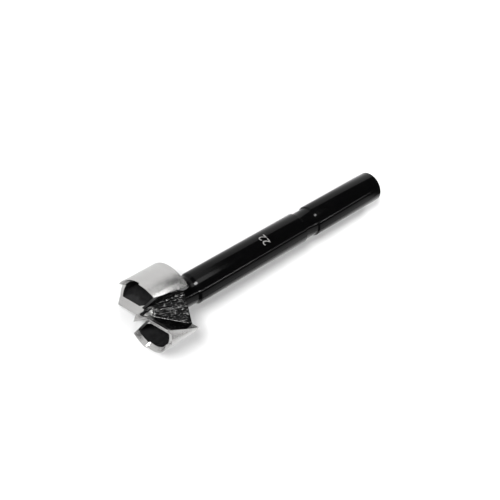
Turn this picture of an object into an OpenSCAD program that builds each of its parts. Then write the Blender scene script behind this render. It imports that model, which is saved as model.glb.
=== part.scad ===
// Forstner bit with a wave-ground rim, lying on a flat surface with a gullet down.
// One piece of tool steel: a plain round shank with a relief groove, a short neck, and a
// cutting head with two lifters, two hollow sectors, two chip gullets and a centre point.
// The bit is drawn standing on its shank end, tip up, and then laid down on the floor.
// Angles run anticlockwise seen from the tip, which is the way the bit turns as it cuts.

/* [Main sizes] */
// Cutting diameter of the head
head_d = 22.225; // [18:0.025:35]
// Diameter of the shank
shank_d = 9.525; // [8:0.025:10]
// From the shank end to the front plane of the rim
body_l = 92.3; // [80:0.1:120]
// Height of the rim along the axis
rim_h = 10.8; // [9:0.1:14]

/* [Shank] */
// Length of the part that sits in the chuck
chuck_l = 28; // [20:0.5:34]
// Length of the relief groove ahead of the chuck part
groove_l = 5.6; // [3:0.1:8]
// Depth of the relief groove
groove_depth = 0.45; // [0.2:0.05:1]
// Chamfer on the shank end
end_chamfer = 0.8; // [0.3:0.1:1.5]
// Length of the neck between the shank and the head
neck_l = 6.5; // [4:0.1:10]
// Diameter of the neck
neck_d = 8.4; // [7:0.1:9]
// Length of the cone between the shank and the neck
neck_cone = 0.9; // [0.4:0.1:2]

/* [Lifters] */
// How far the cutting edge stands in front of the rim plane
edge_lead = 0.35; // [0:0.05:0.8]
// How far the cutting edge runs ahead of the axis
edge_ahead = 0.55; // [0.3:0.05:1]
// Backward lean of the rake face
rake = 28; // [20:1:32]
// Width of the ground land behind the cutting edge
land_w = 2.3; // [1.5:0.1:3]
// Clearance angle of the land
land_clear = 27; // [15:1:32]
// Width of the narrow strip between the land and the pocket
lip = 0.2; // [0.1:0.05:0.5]

/* [Gullets] */
// Angle from the cutting edge of a sector back to its trailing wall
sector_span = 135.5; // [128:0.5:140]
// Distance of the trailing wall from the axis
trail_off = 1.55; // [0.8:0.05:2]
// Backward lean of the trailing wall
trail_lean = 11; // [5:1:15]
// Distance of the chip ramp from the axis at the back of the head
ramp_back = 6.3; // [5.5:0.1:7]
// Angle between the chip ramp and the axis
ramp_angle = 32; // [28:1:36]
// Direction of the ramp, measured on from the cutting edge
ramp_turn = 7; // [0:1:15]

/* [Pockets] */
// Depth of a pocket below the rim plane
pocket_depth = 6; // [4:0.5:8]
// Thickness of the rim wall outside the pocket
rim_wall = 1.1; // [0.8:0.1:2]
// Thickness of the trailing wall beside the pocket
trail_wall = 0.7; // [0.5:0.1:1.2]
// Distance of the inner end of the pocket from the axis
pocket_in = 2.7; // [2.4:0.1:3.2]
// Direction of the inner end, measured back from the cutting edge
pocket_turn = 64; // [55:1:75]

/* [Wave rim] */
// Slope of the inner bevel of the rim
bevel = 50; // [40:1:60]
// Angle from the cutting edge back to the tall tooth
tooth_a = 42.5; // [38:0.5:50]
// Angle from the cutting edge back to the low tooth
tooth_b = 97.5; // [90:0.5:105]
// Height of the tall tooth tip above the rim plane
tip_a = 0.6; // [0.3:0.05:1]
// Height of the low tooth tip above the rim plane
tip_b = 0.35; // [0.1:0.05:0.6]
// Slope of the flat that falls away behind the land
valley_fall = 7.5; // [4:0.5:10]
// Slope of the relief behind each tooth
relief = 4.8; // [3:0.1:7]
// Lean of the leading face of each tooth
face_lean = 58; // [30:1:65]

/* [Centre spur] */
// Height of the spur tip above the rim plane
spur_lead = 3.2; // [2:0.1:5]
// Distance from the axis to where the spur meets a cutting edge
spur_reach = 2.8; // [2.2:0.1:3.2]
// Half the thickness of the spur at the cutting edges
spur_half = 1; // [0.6:0.05:1.3]
// How far behind a cutting edge the long corner of the spur comes down
spur_behind = 0.15; // [0.1:0.05:0.3]
// Half the width of the small flat on the spur tip
spur_flat = 0.05; // [0.02:0.01:0.1]
// How far the ground web runs up inside the spur
web_lead = 0.5; // [0.2:0.1:0.8]
// Length of the ground web under the spur
web_l = 3.5; // [3:0.1:5]
// Distance of the ground web flats from the axis at their foot
web_r = 1.5; // [1.2:0.05:2.4]

/* [Hidden] */
$fn = 128;

rh = head_d / 2;
rs = shank_d / 2;
rg = rs - groove_depth;
rn = neck_d / 2;
rp = rh - rim_wall;
ring_r = rp - lip;
front = body_l;
back = body_l - rim_h;
neck_z = back - neck_l;
groove_z = chuck_l + groove_l;
edge_z = front + edge_lead;
land_back = edge_ahead - land_w;
land_z = edge_z - land_w * tan(land_clear);
spur_z = front + spur_lead;
spur_h = spur_lead + 1;
spur_side = edge_ahead - spur_behind;
spur_turn = atan(spur_side / spur_reach);
spur_skew = atan(spur_half / norm([spur_reach, spur_side]));
spur_slope = (spur_half * cos(spur_skew) - spur_flat) / (spur_lead - edge_lead);
web_h = web_l + web_lead;
top = front + max(tip_a, tip_b, edge_lead) + 1;
bevel_drop = rim_wall * tan(bevel);
reach = 3 * head_d;
lap = 4;
overrun = 2;
cone_h = bevel_drop + 5;

// Each relief falls away behind its tip at the same slope, so its middle height follows
fall = rh * tan(relief);
relief_a_z = front + tip_a - fall * sin((tooth_b - tooth_a) / 2);
relief_b_z = front + tip_b - fall * sin((sector_span - tooth_b) / 2);

// The bit lies with a gullet down, on the edge of the end chamfer and on two corners of the head:
// the outer end of a cutting edge and the back corner of the trailing wall across the gullet
lead_l = edge_z - end_chamfer;
trail_l = back - end_chamfer;
lead_turn = asin(edge_ahead / rh);
trail_turn = 180 - sector_span + asin((trail_off - rim_h * tan(trail_lean)) / rh);
rest_x = trail_l * cos(lead_turn) - lead_l * cos(trail_turn);
rest_y = trail_l * sin(lead_turn) - lead_l * sin(trail_turn);
rest_turn = atan2(rest_y, rest_x) + acos(rs / rh * (trail_l - lead_l) / norm([rest_x, rest_y]));
roll = 180 - rest_turn;
tilt = atan((rh * cos(lead_turn - rest_turn) - rs) / lead_l);
lift = rs * cos(tilt) - end_chamfer * sin(tilt);
tail_x = (rs - end_chamfer) * sin(tilt);
nose_x = min(-spur_z * cos(tilt), (1 - top) * cos(tilt) - rh * sin(tilt));
shift = -(tail_x + nose_x) / 2;

// All points on the leading side of a wall that runs along direction a
module ahead(a, off, lean, z) {
    rotate([0, 0, a])
        translate([0, off, z])
            rotate([-lean, 0, 0])
                translate([-reach, 0, -reach])
                    cube([2 * reach, reach, 2 * reach]);
}

// All points on the trailing side of the same wall
module behind(a, off, lean, z) {
    rotate([0, 0, a])
        translate([0, off, z])
            rotate([-lean, 0, 0])
                translate([-reach, -reach, -reach])
                    cube([2 * reach, reach, 2 * reach]);
}

// The turned blank: shank, groove, neck and full head
module blank() {
    rotate_extrude()
        polygon([
            [0, 0],
            [rs - end_chamfer, 0],
            [rs, end_chamfer],
            [rs, chuck_l],
            [rg, chuck_l + groove_depth],
            [rg, groove_z - groove_depth],
            [rs, groove_z],
            [rs, neck_z],
            [rn, neck_z + neck_cone],
            [rn, back],
            [rh, back],
            [rh, top],
            [ring_r, top],
            [ring_r, edge_z + lip],
            [0, edge_z + lip]
        ]);
}

// The open space ahead of a lifter, down to the sloping chip ramp
module gullet() {
    intersection() {
        ahead(0, edge_ahead, rake, edge_z);
        behind(180 - sector_span, trail_off, trail_lean, front);
        ahead(ramp_turn - 90, ramp_back, -ramp_angle, back);
    }
}

// The blind hollow inside a sector
module pocket() {
    intersection() {
        behind(0, land_back - lip, rake, land_z);
        ahead(-sector_span, trail_off + trail_wall, trail_lean, front);
        ahead(-pocket_turn - 90, pocket_in, 0, front);
        translate([0, 0, front - pocket_depth])
            cylinder(h = reach, r = rp);
    }
}

// All points above a plane that runs along the cutting edge and rises towards it
module above(off, z, slope) {
    translate([0, off, z])
        rotate([slope, 0, 0])
            translate([-reach, -reach, 0])
                cube([2 * reach, 2 * reach, reach]);
}

// A cone that grinds the inner bevel of the rim, tipped about its middle to give the relief
module bevel_cone(middle, z) {
    rotate([0, 0, -middle])
        translate([0, 0, z])
            rotate([relief, 0, 0])
                translate([0, 0, -bevel_drop])
                    cylinder(h = cone_h, r1 = rp, r2 = rp + cone_h / tan(bevel));
}

// All points in front of the leading face of a tooth, which leans along the bevel
module tooth_face(a, z) {
    rotate([0, 0, -a])
        translate([rh, 0, z])
            rotate([0, -bevel, 0])
                rotate([face_lean, 0, 0])
                    translate([-reach, 0, -reach])
                        cube([2 * reach, reach, 2 * reach]);
}

// One ground length of the rim, from a little ahead of one tooth back to the next
module ground_length(from_a, to_a, next_z) {
    intersection() {
        children();
        behind(lap - from_a, 0, 0, front);
        ahead(-to_a - 4 * lap, 0, 0, front);
        if (next_z > 0)
            tooth_face(to_a, next_z);
    }
}

// The flank of the land and the flat that falls away behind it, as far as the tall tooth
module land_cut() {
    intersection() {
        above(edge_ahead, edge_z, land_clear);
        above(land_back, land_z, valley_fall);
        ahead(-sector_span, trail_off - overrun, trail_lean, front);
        union() {
            ground_length(-3 * lap, tooth_a, front + tip_a)
                cylinder(h = reach + top, r = head_d);
            cylinder(h = reach + top, r = ring_r);
        }
    }
}

// The wave-ground rim behind the tall tooth: the bevelled reliefs of both teeth
module wave_cut() {
    difference() {
        intersection() {
            union() {
                ground_length(tooth_a, tooth_b, front + tip_b)
                    bevel_cone((tooth_a + tooth_b) / 2, relief_a_z);
                ground_length(tooth_b, sector_span, 0)
                    bevel_cone((tooth_b + sector_span) / 2, relief_b_z);
            }
            ahead(-sector_span, trail_off - overrun, trail_lean, front);
        }
        cylinder(h = reach + top, r = ring_r);
    }
}

// A long wedge with its edge along x at the height of the tip
module wedge(tip_z, h, slope) {
    rotate([90, 0, 90])
        linear_extrude(height = head_d, center = true)
            polygon([
                [spur_flat, tip_z],
                [-spur_flat, tip_z],
                [-spur_flat - h * slope, tip_z - h],
                [spur_flat + h * slope, tip_z - h]
            ]);
}

// A four-sided point: what two crossing wedges have in common
module ground_point(tip_z, h, slope, turn, skew) {
    intersection() {
        rotate([0, 0, turn + skew])
            wedge(tip_z, h, slope);
        rotate([0, 0, turn - skew])
            wedge(tip_z, h, slope);
    }
}

// The spur at the centre, whose long corners run down to the cutting edges
module centre_spur() {
    ground_point(spur_z, spur_h, spur_slope, spur_turn, spur_skew);
}

// The ground web that carries the spur, with a flat towards each chip ramp
module ground_web() {
    ground_point(edge_z + web_lead, web_h, (web_r - spur_flat) / web_h, ramp_turn + 45, 45);
}

// Both halves of the head, half a turn apart
module twice() {
    for (turn = [0, 180])
        rotate([0, 0, turn])
            children();
}

module standing_bit() {
    difference() {
        union() {
            difference() {
                blank();
                twice() {
                    pocket();
                    land_cut();
                    wave_cut();
                }
            }
            centre_spur();
        }
        twice()
            gullet();
    }
    ground_web();
}

module forstner_bit() {
    color([0.16, 0.16, 0.17])
        translate([shift, 0, lift])
            rotate([0, tilt - 90, 0])
                rotate([0, 0, roll])
                    standing_bit();
}

forstner_bit();
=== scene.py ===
# %% [markdown]
# # A Forstner bit in black oxide and ground steel
# The real bit is turned, forged and ground from one bar of tool steel, then blackened, and its
# cutting faces are ground bright again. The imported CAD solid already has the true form, so this
# lesson dresses that one solid: it softens the edges, roughens what the forge left rough, and
# gives every face its finish, from black oxide to bare steel.

# %% Load the frame
import math

import bpy
from mathutils import Matrix, Vector, noise


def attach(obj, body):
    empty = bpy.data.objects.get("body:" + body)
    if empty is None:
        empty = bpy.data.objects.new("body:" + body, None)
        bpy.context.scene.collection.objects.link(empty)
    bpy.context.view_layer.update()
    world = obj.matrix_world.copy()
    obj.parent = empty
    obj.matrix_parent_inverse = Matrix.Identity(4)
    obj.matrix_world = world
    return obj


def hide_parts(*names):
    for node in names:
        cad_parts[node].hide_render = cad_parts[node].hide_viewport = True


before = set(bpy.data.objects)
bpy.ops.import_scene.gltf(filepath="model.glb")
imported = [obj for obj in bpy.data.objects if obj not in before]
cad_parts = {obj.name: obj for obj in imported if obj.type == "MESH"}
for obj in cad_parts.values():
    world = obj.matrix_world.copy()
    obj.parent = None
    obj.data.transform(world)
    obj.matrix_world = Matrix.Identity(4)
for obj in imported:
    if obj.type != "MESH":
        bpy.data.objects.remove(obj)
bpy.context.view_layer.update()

# %% [markdown]
# ## The bit's own frame
# The bit lies with a gullet down, on its shank end and on two corners of the head, so its axis is
# neither level nor along X. Every finish belongs to a face of the tool, which is easiest to
# name on the tool itself: z from the shank end to the tip, x along one cutting edge. The same few
# sizes as in the CAD source give the way from that frame to the floor's.

# %% Sizes and the rest on the floor
MM = 0.001
HEAD_R = 11.1125 * MM
SHANK_R = 4.7625 * MM
FRONT_Z = 92.3 * MM
BACK_Z = 81.5 * MM
EDGE_Z = 92.65 * MM
SPUR_Z = 95.5 * MM
EDGE_AHEAD = 0.55 * MM
END_CHAMFER = 0.8 * MM
SECTOR_SPAN = math.radians(135.5)
TRAIL_OFF = 1.55 * MM
TRAIL_LEAN = math.radians(11)

lead_l = EDGE_Z - END_CHAMFER
trail_l = BACK_Z - END_CHAMFER
lead_turn = math.asin(EDGE_AHEAD / HEAD_R)
trail_back = TRAIL_OFF - (FRONT_Z - BACK_Z) * math.tan(TRAIL_LEAN)
trail_turn = math.pi - SECTOR_SPAN + math.asin(trail_back / HEAD_R)
rest_x = trail_l * math.cos(lead_turn) - lead_l * math.cos(trail_turn)
rest_y = trail_l * math.sin(lead_turn) - lead_l * math.sin(trail_turn)
rest_cos = SHANK_R / HEAD_R * (trail_l - lead_l) / math.hypot(rest_x, rest_y)
rest_turn = math.atan2(rest_y, rest_x) + math.acos(rest_cos)
tilt = math.atan((HEAD_R * math.cos(lead_turn - rest_turn) - SHANK_R) / lead_l)
lift = SHANK_R * math.cos(tilt) - END_CHAMFER * math.sin(tilt)
shift = (SPUR_Z * math.cos(tilt) - (SHANK_R - END_CHAMFER) * math.sin(tilt)) / 2

to_floor = (Matrix.Translation((shift, 0, lift))
            @ Matrix.Rotation(tilt - math.pi / 2, 4, "Y")
            @ Matrix.Rotation(math.pi - rest_turn, 4, "Z"))
to_tool = to_floor.inverted()
print("axis rises", round(math.degrees(tilt), 3), "degrees; gullet down at",
      round(math.degrees(rest_turn), 3), "degrees from the cutting edge")

# %% [markdown]
# ## The camera
# The picture looks at the bit from the head end, along a line that is fixed on the tool: so far
# round it from the cutting edge, and so far off its axis. The camera is therefore set in the tool's
# frame and carried to the floor with it.

# %% Camera
CAMERA_PLACE = Vector((-211.16, -163.1, 222.56)) * MM
CAMERA_TARGET = Vector((-0.48, -1.93, 52.68)) * MM
CAMERA_UP = Vector((0.316, -0.852, -0.417))
FOCAL_PIXELS = 1084.5
IMAGE_PIXELS = 500
SENSOR_WIDTH = 36
CLIP_NEAR = 0.01

camera_data = bpy.data.cameras.new("camera")
camera_data.sensor_width = SENSOR_WIDTH
camera_data.lens = SENSOR_WIDTH * FOCAL_PIXELS / IMAGE_PIXELS
camera_data.clip_start = CLIP_NEAR
camera = bpy.data.objects.new("camera", camera_data)
bpy.context.scene.collection.objects.link(camera)
bpy.context.scene.camera = camera

view_back = (CAMERA_PLACE - CAMERA_TARGET).normalized()
view_right = CAMERA_UP.cross(view_back).normalized()
view_up = view_back.cross(view_right)
view_axes = to_floor.to_3x3() @ Matrix((view_right, view_up, view_back)).transposed()
camera.matrix_world = Matrix.Translation(to_floor @ CAMERA_PLACE) @ view_axes.to_4x4()
print("lens", round(camera_data.lens, 2), "mm, camera at",
      tuple(round(v, 4) for v in camera.location))

# %% [markdown]
# ## Planes of the head
# Faces of the tool are found by where they lie and which way they look, as a maker would point
# at them. A plane is kept as a point and an outward direction in the tool's frame, and both halves
# of the head have it, half a turn apart.

# %% Planes of the head
RAKE = math.radians(28)
RAMP_TURN = math.radians(7)
RAMP_ANGLE = math.radians(32)
RAMP_BACK = 6.3 * MM
LAND_CLEAR = math.radians(27)
LAND_W = 2.3 * MM
VALLEY_FALL = math.radians(7.5)
PLANE_GAP = 0.02 * MM
SAME_WAY = 0.998


def wall(turn, off, lean, z, side=1):
    """A leaning wall along direction turn: a point on it and its outward normal."""
    spin = Matrix.Rotation(turn, 3, "Z")
    return spin @ Vector((0, off, z)), side * (spin @ Vector((0, math.cos(lean), -math.sin(lean))))


rake_face = wall(0, EDGE_AHEAD, RAKE, EDGE_Z)
trail_face = wall(math.pi - SECTOR_SPAN, TRAIL_OFF, TRAIL_LEAN, FRONT_Z, side=-1)
ramp_face = wall(RAMP_TURN - math.pi / 2, RAMP_BACK, -RAMP_ANGLE, BACK_Z)
land_face = (Vector((0, EDGE_AHEAD, EDGE_Z)),
             Vector((0, -math.sin(LAND_CLEAR), math.cos(LAND_CLEAR))))
valley_z = EDGE_Z - LAND_W * math.tan(LAND_CLEAR)
valley_face = (Vector((0, EDGE_AHEAD - LAND_W, valley_z)),
               Vector((0, -math.sin(VALLEY_FALL), math.cos(VALLEY_FALL))))
HALVES = (Matrix.Identity(3), Matrix.Rotation(math.pi, 3, "Z"))


def lies_on(plane, middle, normal, gap=PLANE_GAP, halves=HALVES):
    """Whether a face of the tool lies on a plane of the head, on any of these halves."""
    for half in halves:
        point, outward = half @ plane[0], half @ plane[1]
        if abs((middle - point).dot(outward)) < gap and normal.dot(outward) > SAME_WAY:
            return True
    return False


print("rake face leans", round(math.degrees(RAKE), 1), "degrees, chip ramp",
      round(math.degrees(RAMP_ANGLE), 1), "degrees")

# %% [markdown]
# ## Helpers for edit mode
# Operators in edit mode act on what is selected. By hand one would click the faces. Here a test chooses
# them in object mode, where a selection can be written to the mesh, and edit mode then finds it there.

# %% Pick and cut faces
def tool_face(face):
    """A mesh face's middle and normal in the tool's frame."""
    return to_tool @ face.center, to_tool.to_3x3() @ face.normal


def only(piece):
    """Makes one piece the only selected object, and the active one."""
    bpy.ops.object.select_all(action="DESELECT")
    piece.select_set(True)
    bpy.context.view_layer.objects.active = piece


def cut(point, way):
    """Bisects the selected faces at a point of the tool, square to a direction of the tool."""
    bpy.ops.mesh.bisect(plane_co=to_floor @ point, plane_no=to_floor.to_3x3() @ way)


def pick(piece, test):
    """Leaves edit mode, selects the faces that pass the test, and goes back in."""
    bpy.ops.object.mode_set(mode="OBJECT")
    bpy.context.tool_settings.mesh_select_mode = (False, False, True)
    mesh = piece.data
    mesh.vertices.foreach_set("select", [False] * len(mesh.vertices))
    mesh.edges.foreach_set("select", [False] * len(mesh.edges))
    mesh.polygons.foreach_set("select", [test(face) for face in mesh.polygons])
    bpy.ops.object.mode_set(mode="EDIT")


# %% [markdown]
# ## The steel itself
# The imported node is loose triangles. It could be modelled anew, but the solid is already exact. So a copy
# is merged into one skin, and triangles that share a plane become one face again, which lets a bevel run
# along the true edges.

# %% Copy of the solid
MERGE_GAP = 0.001 * MM
FLAT_ANGLE = math.radians(0.2)

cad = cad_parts["forstner_bit"]
bit = bpy.data.objects.new("bit_steel", cad.data.copy())
bpy.context.scene.collection.objects.link(bit)
only(bit)
bpy.ops.mesh.customdata_custom_splitnormals_clear()
bpy.ops.object.mode_set(mode="EDIT")
bpy.ops.mesh.select_all(action="SELECT")
bpy.ops.mesh.remove_doubles(threshold=MERGE_GAP)
bpy.ops.mesh.dissolve_limited(angle_limit=FLAT_ANGLE, use_dissolve_boundaries=False)
bpy.ops.object.mode_set(mode="OBJECT")
print("faces after cleaning:", len(bit.data.polygons))

# %% [markdown]
# ## Where the grinder stopped
# The rake face was ground only next to the cutting edge, and its outer back corner is worn bright, so it
# is cut along those two lines. The front of the thin trailing wall stayed black, so it is cut from the
# ground flat behind the land. Bisect does that on the chosen faces alone and leaves the skin closed.

# %% Lines where the grinding ends
TRAIL_WALL = 0.72 * MM
STRIP_FROM, STRIP_TO = (11 * MM, 91.4 * MM), (1.5 * MM, 90.8 * MM)
CORNER_FROM, CORNER_TO = (6.9 * MM, 81.5 * MM), (9.4 * MM, 84.5 * MM)


def line_on_rake(*ends):
    """A line across the rake face, given by x and z of its ends.

    It comes back as a point on it and the direction square to it, towards the bright side.
    """
    start, end = (Vector((x, EDGE_AHEAD + (z - EDGE_Z) * math.tan(RAKE), z)) for x, z in ends)
    return start, rake_face[1].cross(end - start).normalized()


strip_line = line_on_rake(STRIP_FROM, STRIP_TO)
corner_line = line_on_rake(CORNER_FROM, CORNER_TO)
wall_line = (trail_face[0] - trail_face[1] * TRAIL_WALL, trail_face[1])

for half in HALVES:
    for plane, line in ((rake_face, strip_line), (rake_face, corner_line), (valley_face, wall_line)):
        pick(bit, lambda face: lies_on(plane, *tool_face(face)))
        cut(half @ line[0], half @ line[1])
bpy.ops.object.mode_set(mode="OBJECT")
print("faces with ground strips:", len(bit.data.polygons))

# %% [markdown]
# ## Black, ground, forged, worn or cast
# The shank and the leaning walls of the gullets are black, the rim, lands and centre point are ground,
# the chip ramps are forged, one corner of each rake face is worn bright in spots, and the pockets inside
# the rim have a dull cast skin. Each face gets a number for its finish while the faces are still plane
# and easy to tell apart. It lies on the mesh as an attribute, so later cuts and bevels hand it on.

# %% Finish of every face
BLACK, GROUND, FORGED, WORN, CAST = range(5)
RIM_WALL_R = 10.0125 * MM
BACK_GAP = 0.5 * MM
RADIUS_GAP = 0.1 * MM
RIM_EDGE_GAP = 0.15 * MM
WEB_R = 3.2 * MM
WEB_DEPTH = 5.2 * MM
FACES_ALIKE = 0.9
RIM_EDGE_RISE = 0.2
WEB_RISE = 0.15


def near_trailing_wall(middle):
    """Whether a point of a sector lies in its thin trailing wall."""
    depths = [(half @ trail_face[0] - middle).dot(half @ trail_face[1]) for half in HALVES]
    return min(abs(depth) for depth in depths) < TRAIL_WALL


def past(line, middle, normal):
    """Whether a piece of a rake face lies on the bright side of a line across it."""
    for half in HALVES:
        if (half @ rake_face[1]).dot(normal) > FACES_ALIKE:
            return (middle - half @ line[0]).dot(half @ line[1]) > 0
    return False


def finish_of(face):
    """The finish of a face, from where it lies on the tool and which way it looks."""
    middle, normal = tool_face(face)
    radius = math.hypot(middle.x, middle.y)
    if middle.z < BACK_Z - BACK_GAP:
        return BLACK
    if lies_on(ramp_face, middle, normal):
        return FORGED
    if lies_on(rake_face, middle, normal):
        if past(corner_line, middle, normal):
            return WORN
        return GROUND if past(strip_line, middle, normal) else BLACK
    if lies_on(land_face, middle, normal):
        return GROUND
    if lies_on(valley_face, middle, normal):
        return BLACK if near_trailing_wall(middle) else GROUND
    outward = Vector((middle.x, middle.y, 0)).normalized()
    if radius > HEAD_R - RADIUS_GAP and normal.dot(outward) > FACES_ALIKE:
        return GROUND
    if radius > RIM_WALL_R - RIM_EDGE_GAP and normal.z > RIM_EDGE_RISE:
        return GROUND
    if radius < WEB_R and normal.z > WEB_RISE and middle.z > FRONT_Z - WEB_DEPTH:
        return GROUND
    if radius < RIM_WALL_R + RADIUS_GAP and not lies_on(trail_face, middle, normal):
        return CAST
    return BLACK


zone = bit.data.attributes.new("zone", "INT", "FACE")
zone.data.foreach_set("value", [finish_of(face) for face in bit.data.polygons])
for title, number in (("ground", GROUND), ("forged", FORGED), ("worn", WORN), ("cast", CAST)):
    print(title, "faces:", sum(1 for face_zone in zone.data if face_zone.value == number))

# %% [markdown]
# ## The worn fillet of the gullet
# Ramp and rake face meet in a small fillet that the chips rub bright. A bevel would be held back by
# the tiny edges at both ends of that corner, so the two faces are first cut across it near its ends,
# and only the length between the cuts is rounded. The new faces get the number for worn.

# %% Round the corner between ramp and rake face
FILLET_ROUND = 0.22 * MM
FILLET_FROM, FILLET_TO = 0.07, 0.95
FILLET_SEGMENTS = 3
EDGE_GAP = 0.01 * MM
fillet_way = ramp_face[1].cross(rake_face[1]).normalized()


def off_edge(spot, half):
    """How far a point of the tool lies from the corner between ramp and rake face on this half."""
    return max(abs((spot - half @ plane[0]).dot(half @ plane[1]))
               for plane in (ramp_face, rake_face))


def beside_fillet(face, half):
    """Whether a face lies on the ramp or the rake face of this half."""
    return any(lies_on(plane, *tool_face(face), EDGE_GAP, (half,))
               for plane in (ramp_face, rake_face))


only(bit)
for half in HALVES:
    way = half @ fillet_way
    spots = [to_tool @ v.co for v in bit.data.vertices]
    along = [spot.dot(way) for spot in spots if off_edge(spot, half) < EDGE_GAP]
    low, high = (min(along) + share * (max(along) - min(along))
                 for share in (FILLET_FROM, FILLET_TO))
    for place in (low, high):
        pick(bit, lambda face: beside_fillet(face, half))
        cut(way * place, way)
    bpy.ops.object.mode_set(mode="OBJECT")
    spots = [to_tool @ v.co for v in bit.data.vertices]
    near = [off_edge(spot, half) < EDGE_GAP and low - EDGE_GAP < spot.dot(way) < high + EDGE_GAP
            for spot in spots]
    corner = [all(near[i] for i in edge.vertices) for edge in bit.data.edges]
    bpy.context.tool_settings.mesh_select_mode = (False, True, False)
    bit.data.polygons.foreach_set("select", [False] * len(bit.data.polygons))
    bit.data.edges.foreach_set("select", corner)
    bit.data.vertices.foreach_set("select", near)
    bpy.ops.object.mode_set(mode="EDIT")
    bpy.ops.mesh.bevel(offset=FILLET_ROUND, segments=FILLET_SEGMENTS, clamp_overlap=True)
    bpy.ops.object.mode_set(mode="OBJECT")
print("fillet length", round((high - low) / MM, 2), "mm")

# %% [markdown]
# The bevel hands its new faces the number of a face beside them. The fillet's own faces are the ones
# close to the corner that lie on neither of its two planes, and they become worn.

# %% Finish of the fillet
STRICT_GAP = 0.001 * MM

zone = bit.data.attributes["zone"]
worn = 0
for face in bit.data.polygons:
    middle, normal = tool_face(face)
    plain = any(lies_on(plane, middle, normal, STRICT_GAP) for plane in (ramp_face, rake_face))
    if not plain and min(off_edge(middle, half) for half in HALVES) < FILLET_ROUND:
        zone.data[face.index].value = WORN
        worn += 1
print("fillet faces:", worn)

# %% [markdown]
# ## Soft edges
# A real ground edge is a few hundredths of a millimetre round, and that thin facet catches the light. Each
# edge could be bevelled by hand, but the Bevel modifier finds every edge that turns by more than its
# angle. Two segments are enough at this size.

# %% Bevel
EDGE_ROUND = 0.05 * MM
EDGE_SEGMENTS = 2
EDGE_ANGLE = math.radians(18)

only(bit)
bevel = bit.modifiers.new("soft_edges", "BEVEL")
bevel.width = EDGE_ROUND
bevel.segments = EDGE_SEGMENTS
bevel.limit_method = "ANGLE"
bevel.angle_limit = EDGE_ANGLE
bevel.use_clamp_overlap = True
bpy.ops.object.modifier_apply(modifier=bevel.name)
print("faces with soft edges:", len(bit.data.polygons))

# %% [markdown]
# ## The forged ramps
# The chip ramps were left as the forge made them: a rough skin with ridges that run along the ramp.
# A bump map would not show at the edge of the ramp or in the mesh itself, so the ramp gets real
# points to move. Bisect first scores it into a fine grid, along and across.

# %% Score the ramps
RAMP_GRID = 0.2 * MM

spin = Matrix.Rotation(RAMP_TURN - math.pi / 2, 3, "Z")
ramp_along = spin @ Vector((0, math.sin(RAMP_ANGLE), -math.cos(RAMP_ANGLE)))
ramp_across = spin @ Vector((1, 0, 0))


def on_ramp(face, half):
    """Whether a face is part of the forged ramp on this half of the head."""
    outward = half @ ramp_face[1]
    middle = to_tool @ face.center
    forged = bit.data.attributes["zone"].data[face.index].value == FORGED
    return forged and middle.x * outward.x + middle.y * outward.y > 0


for half in HALVES:
    for direction in (ramp_along, ramp_across):
        way = half @ direction
        pick(bit, lambda face: on_ramp(face, half))
        bpy.ops.object.mode_set(mode="OBJECT")
        spots = [(to_tool @ bit.data.vertices[i].co).dot(way)
                 for face in bit.data.polygons if face.select for i in face.vertices]
        for step in range(1, int((max(spots) - min(spots)) / RAMP_GRID) + 1):
            pick(bit, lambda face: on_ramp(face, half))
            cut(way * (min(spots) + step * RAMP_GRID), way)
bpy.ops.object.mode_set(mode="OBJECT")
print("faces with scored ramps:", len(bit.data.polygons))

# %% [markdown]
# The points inside each ramp are then pushed in, by ridged noise that is stretched along the ramp. They
# only ever go in, so that nothing stands out past the solid, and the points on the ramp's border stay,
# so that the skin stays closed. How high each point lies is kept for its finish.

# %% Push the inner points of the ramps in
RAMP_DEPTH = 0.7 * MM
RIDGE_ACROSS = 2.1 / MM
RIDGE_ALONG = 0.28 / MM
RIDGE_SLICE = 0.3
RIDGE_TOP = 2
# How fast finer ridges fade, how much finer each step is, how many steps, their offset and their gain
RIDGE_NOISE = (0.9, 2.2, 4, 1.0, 2.0)

zones = bit.data.attributes["zone"].data
inner, border = set(), set()
for face in bit.data.polygons:
    (inner if zones[face.index].value == FORGED else border).update(face.vertices)
inner -= border
crests = {}
for i in inner:
    spot = to_tool @ bit.data.vertices[i].co
    half = HALVES[0] if spot.dot(spin @ Vector((0, 1, 0))) > 0 else HALVES[1]
    own = half @ spot
    a, b = own.dot(ramp_along) * RIDGE_ALONG, own.dot(ramp_across) * RIDGE_ACROSS
    rough = noise.ridged_multi_fractal(Vector((a, b, RIDGE_SLICE)), *RIDGE_NOISE)
    crests[i] = min(rough / RIDGE_TOP, 1)
    push = RAMP_DEPTH * (1 - crests[i])
    bit.data.vertices[i].co -= to_floor.to_3x3() @ (half @ ramp_face[1]) * push
print("points pushed in:", len(inner), "mean crest", round(sum(crests.values()) / len(crests), 3))

# %% [markdown]
# ## Smooth skin and layers for the finish
# Faces that meet at less than the angle are shaded as one surface. The finish number is then written to
# the corners as a colour that the material can read: red is ground, green is forged, blue is worn, and
# alpha is how high a point of the ramp lies. A second layer marks the cast faces. A new layer can move
# the others in memory, so each is fetched once both are made.

# %% Shading and the finish layers
SMOOTH_ANGLE = math.radians(32)

only(bit)
bpy.ops.object.shade_smooth_by_angle(angle=SMOOTH_ANGLE)
bit.data.attributes.new("cast", "FLOAT", "FACE")
bit.data.color_attributes.new("finish", "FLOAT_COLOR", "CORNER")
zones = bit.data.attributes["zone"].data
cast_marks = bit.data.attributes["cast"].data
finish = bit.data.color_attributes["finish"]
for face in bit.data.polygons:
    value = zones[face.index].value
    cast_marks[face.index].value = value == CAST
    for corner in face.loop_indices:
        crest = crests.get(bit.data.loops[corner].vertex_index, 0)
        finish.data[corner].color = (value == GROUND, value == FORGED, value == WORN, crest)
print("corners painted:", len(finish.data))
bit.data.attributes.remove(bit.data.attributes["zone"])

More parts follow.
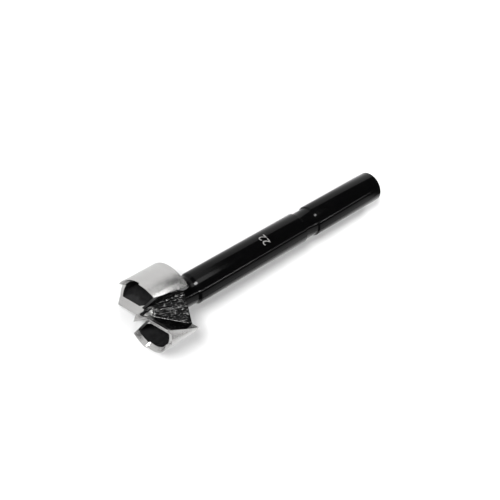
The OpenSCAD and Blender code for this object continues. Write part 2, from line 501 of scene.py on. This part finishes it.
# %% [markdown]
# ## Shader maths in plain Python
# Wiring Math nodes one by one hides what they work out. So a socket is wrapped in a small class, and an
# expression such as 1 - mask adds the Math nodes that it needs. Every other node comes from one method.

# %% Sockets in sums
class Wire:
    """A socket of a material, usable in sums."""

    def __init__(self, shade, socket):
        self.shade, self.socket = shade, socket

    def sum(self, operation, first, second):
        """The result of a Math node on two wires or numbers."""
        return self.shade.node("ShaderNodeMath", {"operation": operation}, {0: first, 1: second})

    def __add__(self, other):
        return self.sum("ADD", self, other)

    __radd__ = __add__

    def __sub__(self, other):
        return self.sum("SUBTRACT", self, other)

    def __rsub__(self, other):
        return self.sum("SUBTRACT", other, self)

    def __mul__(self, other):
        return self.sum("MULTIPLY", self, other)

    __rmul__ = __mul__


# %% [markdown]
# A material is a tree of nodes. A node's settings come first, because they can change which sockets it
# shows, and then each socket gets a value or a link.

# %% Materials and their nodes
MIX_FACTOR, MIX_FIRST, MIX_SECOND, MIX_RESULT = 0, 6, 7, 2


class Shade:
    """One material and the nodes in it."""

    def __init__(self, name):
        self.material = bpy.data.materials.new(name)
        self.material.use_nodes = True
        self.tree = self.material.node_tree
        self.tree.nodes.clear()

    def node(self, kind, settings=None, sockets=None, out=0):
        """Adds a node with its settings, a ramp's stops among them, and its sockets' values or links."""
        made = self.tree.nodes.new(kind)
        for key, value in (settings or {}).items():
            if key == "stops":
                for stop, (place, level) in zip(made.color_ramp.elements, value):
                    stop.position, stop.color = place, (level, level, level, 1)
            else:
                setattr(made, key, value)
        for key, value in (sockets or {}).items():
            if isinstance(value, Wire):
                self.tree.links.new(value.socket, made.inputs[key])
            else:
                made.inputs[key].default_value = value
        return Wire(self, made.outputs[out]) if made.outputs else made

    def other(self, wire, name):
        """Another output of the node that a wire comes from."""
        return Wire(self, wire.socket.node.outputs[name])

    def ramp(self, value, stops):
        """Turns a value into a level between two stops."""
        return self.node("ShaderNodeValToRGB", {"stops": stops}, {"Fac": value})

    def mix(self, factor, first, second):
        """A colour between two others."""
        return self.node("ShaderNodeMix", {"data_type": "RGBA"},
                         {MIX_FACTOR: factor, MIX_FIRST: first, MIX_SECOND: second}, MIX_RESULT)

    def grain(self, place, scale, detail, rough=0.5):
        """Noise with so many waves per unit of its place."""
        return self.node("ShaderNodeTexNoise", None,
                         {"Vector": place, "Scale": scale, "Detail": detail, "Roughness": rough}, "Fac")

    def show(self, surface):
        """Makes this the material's surface, and hands the material out."""
        self.node("ShaderNodeOutputMaterial", None, {"Surface": surface})
        return self.material


# %% [markdown]
# ## Black oxide and ground steel in one material
# Black oxide is a thin dark skin that shines a little where the steel under it was turned smooth.
# Ground steel is bare metal with fine lines. They could be two materials, but worn spots need a soft
# change from one to the other, so one material reads the finish layers and mixes them.

# %% Where the steel is bare
RUBBED_STOPS = ((0.42, 0), (0.58, 1))
CREST_STOPS = ((0.6, 0), (0.75, 0.45))
CREST_SHARE = 0.85
LATHE_WAVES = (250, 250, 9000)
BLOTCH_WAVES = 600
FINE_WAVES = 4000

steel = Shade("bit_steel")
place = steel.node("ShaderNodeTexCoord", None, None, "Object")
tool_place = steel.node("ShaderNodeMapping", {"vector_type": "TEXTURE"},
                        {"Vector": place, "Location": to_floor.translation,
                         "Rotation": to_floor.to_euler()})
lathe_place = steel.node("ShaderNodeMapping", None, {"Vector": tool_place, "Scale": LATHE_WAVES})
lathe_lines = steel.grain(lathe_place, 1, detail=3, rough=0.6)
blotch = steel.grain(tool_place, BLOTCH_WAVES, detail=4, rough=0.6)
fine = steel.grain(tool_place, FINE_WAVES, detail=3, rough=0.7)

layer = steel.node("ShaderNodeAttribute", {"attribute_name": "finish"}, None, "Color")
crest = steel.other(layer, "Alpha")
ground = steel.node("ShaderNodeSeparateColor", None, {"Color": layer}, "Red")
forged = steel.other(ground, "Green")
rubbed = steel.other(ground, "Blue")
cast = steel.node("ShaderNodeAttribute", {"attribute_name": "cast"}, None, "Fac")

rub_spots = steel.ramp(fine, RUBBED_STOPS)
crest_spots = steel.ramp(crest * CREST_SHARE + fine * (1 - CREST_SHARE), CREST_STOPS)
bare = ground + rubbed * rub_spots + forged * crest_spots
print("nodes for the finish:", len(steel.tree.nodes))

# %% [markdown]
# The oxide is nearly black, and so is the scale on the forged ramps. The cast pockets are a little
# greyer. Bare steel takes its colour from the metal, with lines of the lathe and of the grinding wheel
# round the axis of the tool. The same lines and grain give a little height.

# %% Colour, roughness and fine relief
OXIDE = ((0.0005, 0.0005, 0.0006, 1), (0.002, 0.002, 0.0021, 1))
FORGE_SCALE = ((0.001, 0.001, 0.001, 1), (0.012, 0.012, 0.012, 1))
CAST_SKIN = ((0.001, 0.001, 0.001, 1), (0.022, 0.022, 0.0225, 1))
BARE_STEEL = ((0.34, 0.337, 0.332, 1), (0.46, 0.456, 0.45, 1))
DARK_ROUGH, DARK_ROUGH_SPREAD = 0.1, 0.05
GROUND_ROUGH, GROUND_ROUGH_SPREAD = 0.16, 0.14
LINES_ON_BLACK, LINES_ON_GROUND = 0.1, 1.6
GRAIN_ON_BLACK, GRAIN_ON_FORGED = 0.05, 0.4
RELIEF = 0.03 * MM
OXIDE_GLOSS = 0.085

black_colour = steel.mix(forged, steel.mix(blotch, *OXIDE), steel.mix(fine, *FORGE_SCALE))
dark_colour = steel.mix(cast, black_colour, steel.mix(blotch, *CAST_SKIN))
colour = steel.mix(bare, dark_colour, steel.mix(lathe_lines, *BARE_STEEL))
dark_rough = DARK_ROUGH + blotch * DARK_ROUGH_SPREAD
ground_rough = GROUND_ROUGH + lathe_lines * GROUND_ROUGH_SPREAD
roughness = dark_rough * (1 - bare) + ground_rough * bare
height = (lathe_lines * (LINES_ON_BLACK + ground * LINES_ON_GROUND)
          + fine * (GRAIN_ON_BLACK + forged * GRAIN_ON_FORGED))
bump = steel.node("ShaderNodeBump", None,
                  {"Height": height, "Strength": 1, "Distance": RELIEF}, "Normal")
skin = steel.node("ShaderNodeBsdfPrincipled", None,
                  {"Base Color": colour, "Metallic": bare, "Roughness": roughness, "Normal": bump,
                   "Specular IOR Level": OXIDE_GLOSS})
bit.data.materials.clear()
bit.data.materials.append(steel.show(skin))
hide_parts("forstner_bit")
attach(bit, "root")
print("bit faces:", len(bit.data.polygons))

# %% [markdown]
# ## The size on the shank
# A plain numeral is etched round the shank. It could be painted by a material, but a text object gives
# clean outlines. It is made a mesh first, with a little thickness, and cut fine enough to bend. Then it
# is wrapped round the cylinder point by point.

# %% Size mark
MARK_TEXT = "22"
MARK_HEIGHT = 2.5 * MM
MARK_Z = 47.2 * MM
MARK_TURN = math.radians(240)
MARK_THICK = 0.012 * MM
MARK_CUT = 0.2 * MM
MARK_CUTS = 12
MARK_MERGE_GAP = 0.0001 * MM
FONT_CAP = 0.69
FONT_CURVE_STEPS = 6

bpy.ops.object.select_all(action="DESELECT")
bpy.ops.object.text_add()
mark = bpy.context.object
mark.name = "size_mark"
mark.data.body = MARK_TEXT
mark.data.size = MARK_HEIGHT / FONT_CAP
mark.data.align_x = "CENTER"
mark.data.extrude = MARK_THICK / 2
mark.data.resolution_u = FONT_CURVE_STEPS
only(mark)
bpy.ops.object.convert(target="MESH")
bpy.ops.object.mode_set(mode="EDIT")
bpy.ops.mesh.select_all(action="SELECT")
bpy.ops.mesh.remove_doubles(threshold=MARK_MERGE_GAP)
for step in range(-MARK_CUTS, MARK_CUTS + 1):
    bpy.ops.mesh.select_all(action="SELECT")
    bpy.ops.mesh.bisect(plane_co=(step * MARK_CUT, 0, 0), plane_no=(1, 0, 0))
bpy.ops.object.mode_set(mode="OBJECT")
for point in mark.data.vertices:
    turn = MARK_TURN + point.co.x / SHANK_R
    radius = SHANK_R + point.co.z + MARK_THICK / 2
    spot = Vector((radius * math.cos(turn), radius * math.sin(turn), MARK_Z + point.co.y))
    point.co = to_floor @ spot
print("mark faces:", len(mark.data.polygons))

# %% [markdown]
# Etching leaves a dull grey that isn't quite even, so its colour follows a fine grain and it hardly
# shines.

# %% Material of the mark
ETCHED = ((0.09, 0.089, 0.086, 1), (0.26, 0.256, 0.252, 1))
ETCHED_ROUGH = 0.6
ETCHED_WAVES = 3000

etch = Shade("size_mark")
etch_place = etch.node("ShaderNodeTexCoord", None, None, "Object")
etch_colour = etch.mix(etch.grain(etch_place, ETCHED_WAVES, detail=2), *ETCHED)
etch_skin = etch.node("ShaderNodeBsdfPrincipled", None,
                      {"Base Color": etch_colour, "Roughness": ETCHED_ROUGH})
mark.data.materials.append(etch.show(etch_skin))
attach(mark, "root")
print("mark nodes:", len(etch.tree.nodes))

# %% [markdown]
# ## Floor
# A wide pale floor takes the soft shadow. The lamps bring it almost to white, and a faint glow, which
# only the camera and the steel see, makes up the rest. A stronger glow would wash the shadow out.

# %% Floor
FLOOR_SIZE = 12
FLOOR_COLOUR = (0.8, 0.8, 0.8, 1)
FLOOR_GLOW = 0.02
WHITE = (1, 1, 1, 1)

bpy.ops.object.select_all(action="DESELECT")
bpy.ops.mesh.primitive_plane_add(size=FLOOR_SIZE)
floor = bpy.context.object
floor.name = "floor"
paper = Shade("floor")
by_camera = paper.node("ShaderNodeLightPath", None, None, "Is Camera Ray")
seen = by_camera + paper.other(by_camera, "Is Glossy Ray") + paper.other(by_camera, "Is Transmission Ray")
lit = paper.node("ShaderNodeBsdfDiffuse", None, {"Color": FLOOR_COLOUR})
glow = paper.node("ShaderNodeEmission", None, {"Color": WHITE, "Strength": seen * FLOOR_GLOW})
floor.data.materials.append(paper.show(paper.node("ShaderNodeAddShader", None, {0: lit, 1: glow})))
print("floor", FLOOR_SIZE, "m wide")

# %% [markdown]
# ## Lamps
# A cylinder shows its lamps as bands along its length. So a panel is placed by the line of the bit that
# should carry its band: the view is mirrored at that line, and the panel stands in that direction with
# its long side along the bit. A panel could be moved by hand until its band sits right, but this way the
# band is where it is wanted at once.

# %% Lamp helpers
LAMP_FAR = 0.8
bit_way = to_floor.to_3x3() @ Vector((0, 0, 1))


def lamp(name, kind, spot, way, energy, **settings):
    """A lamp that shines on a spot from a direction, with its long side along the bit."""
    data = bpy.data.lights.new(name, kind)
    data.energy = energy
    for key, value in settings.items():
        setattr(data, key, value)
    made = bpy.data.objects.new(name, data)
    way = way.normalized()
    facing = (way - bit_way * way.dot(bit_way)).normalized() if kind == "AREA" else way
    long_side = (bit_way - facing * bit_way.dot(facing)).normalized()
    turned = Matrix((long_side, facing.cross(long_side), facing)).transposed()
    made.matrix_world = Matrix.Translation(spot + way * LAMP_FAR) @ turned.to_4x4()
    bpy.context.scene.collection.objects.link(made)
    print(name, "stands", round(math.degrees(math.asin(way.z)), 1), "degrees above the floor")


def panel(name, z, degrees, light, length, width):
    """A panel that the bit mirrors to the camera at z on its axis, so far round from its nearest line."""
    spot = to_floor @ Vector((0, 0, z))
    eye_way = (camera.location - spot).normalized()
    near_side = (eye_way - bit_way * eye_way.dot(bit_way)).normalized()
    turn = math.radians(degrees)
    outward = near_side * math.cos(turn) + near_side.cross(bit_way) * math.sin(turn)
    mirrored = outward * 2 * outward.dot(eye_way) - eye_way
    lamp(name, "AREA", spot, mirrored, light * math.pi * length * width,
         shape="RECTANGLE", size=length, size_y=width)


# %% [markdown]
# The key is a wide sun close to the camera, up and to the left, so the shadow falls to the lower right
# and stays near the bit. Two weak suns light what the key leaves dark on the head, and a narrow one gives
# the cones of the bit their small glints. Two panels are mirrored by the rim. They are placed from beyond
# the tip, so that the shank shows little of them. A low panel and two thin strips draw the soft band and
# the bright line along the bit.

# %% Suns and panels
SHANK_MIDDLE_Z = 55 * MM
HEAD_SIDE_Z = 105 * MM
TIP_SIDE_Z = 140 * MM
WIDE_SUN = math.radians(16)
NARROW_SUN = math.radians(4)

# Direction to the right, up and towards the camera, then strength and spread
SUNS = {
    "key": ((-0.14, 0.2, 0.97), 4.0, WIDE_SUN),
    "top": ((0.55, -0.42, 0.73), 0.2, WIDE_SUN),
    "small": ((0.24, -0.59, 0.77), 0.35, NARROW_SUN),
    "over": ((0.53, 0.02, 0.85), 0.28, WIDE_SUN),
}
# Place on the axis, degrees round from the nearest line, brightness, then length and width in metres
PANELS = {
    "rim_panel": (TIP_SIDE_Z, -9, 5.4, 0.38, 0.36),
    "rim_fill": (TIP_SIDE_Z, -26, 1.5, 0.4, 0.56),
    "low_panel": (SHANK_MIDDLE_Z, 42, 1.3, 0.7, 0.5),
    "low_strip": (SHANK_MIDDLE_Z, 23.5, 14, 0.7, 0.02),
    "head_strip": (HEAD_SIDE_Z, 23.5, 22, 0.4, 0.02),
}
for name, (way, strength, spread) in SUNS.items():
    lamp(name, "SUN", to_floor @ CAMERA_TARGET, view_axes @ Vector(way), strength, angle=spread)
for name, placing in PANELS.items():
    panel(name, *placing)

# %% [markdown]
# ## The room
# A photo studio is never quite dark, so a weak white world lights the shadows a little. The Standard
# view shows colours as they are written.

# %% World and view
ROOM_LIGHT = 0.05

world = bpy.data.worlds.new("studio")
bpy.context.scene.world = world
world.use_nodes = True
room = world.node_tree.nodes["Background"].inputs
room["Color"].default_value = WHITE
room["Strength"].default_value = ROOM_LIGHT
bpy.context.scene.view_settings.view_transform = "Standard"
print("room light:", ROOM_LIGHT)
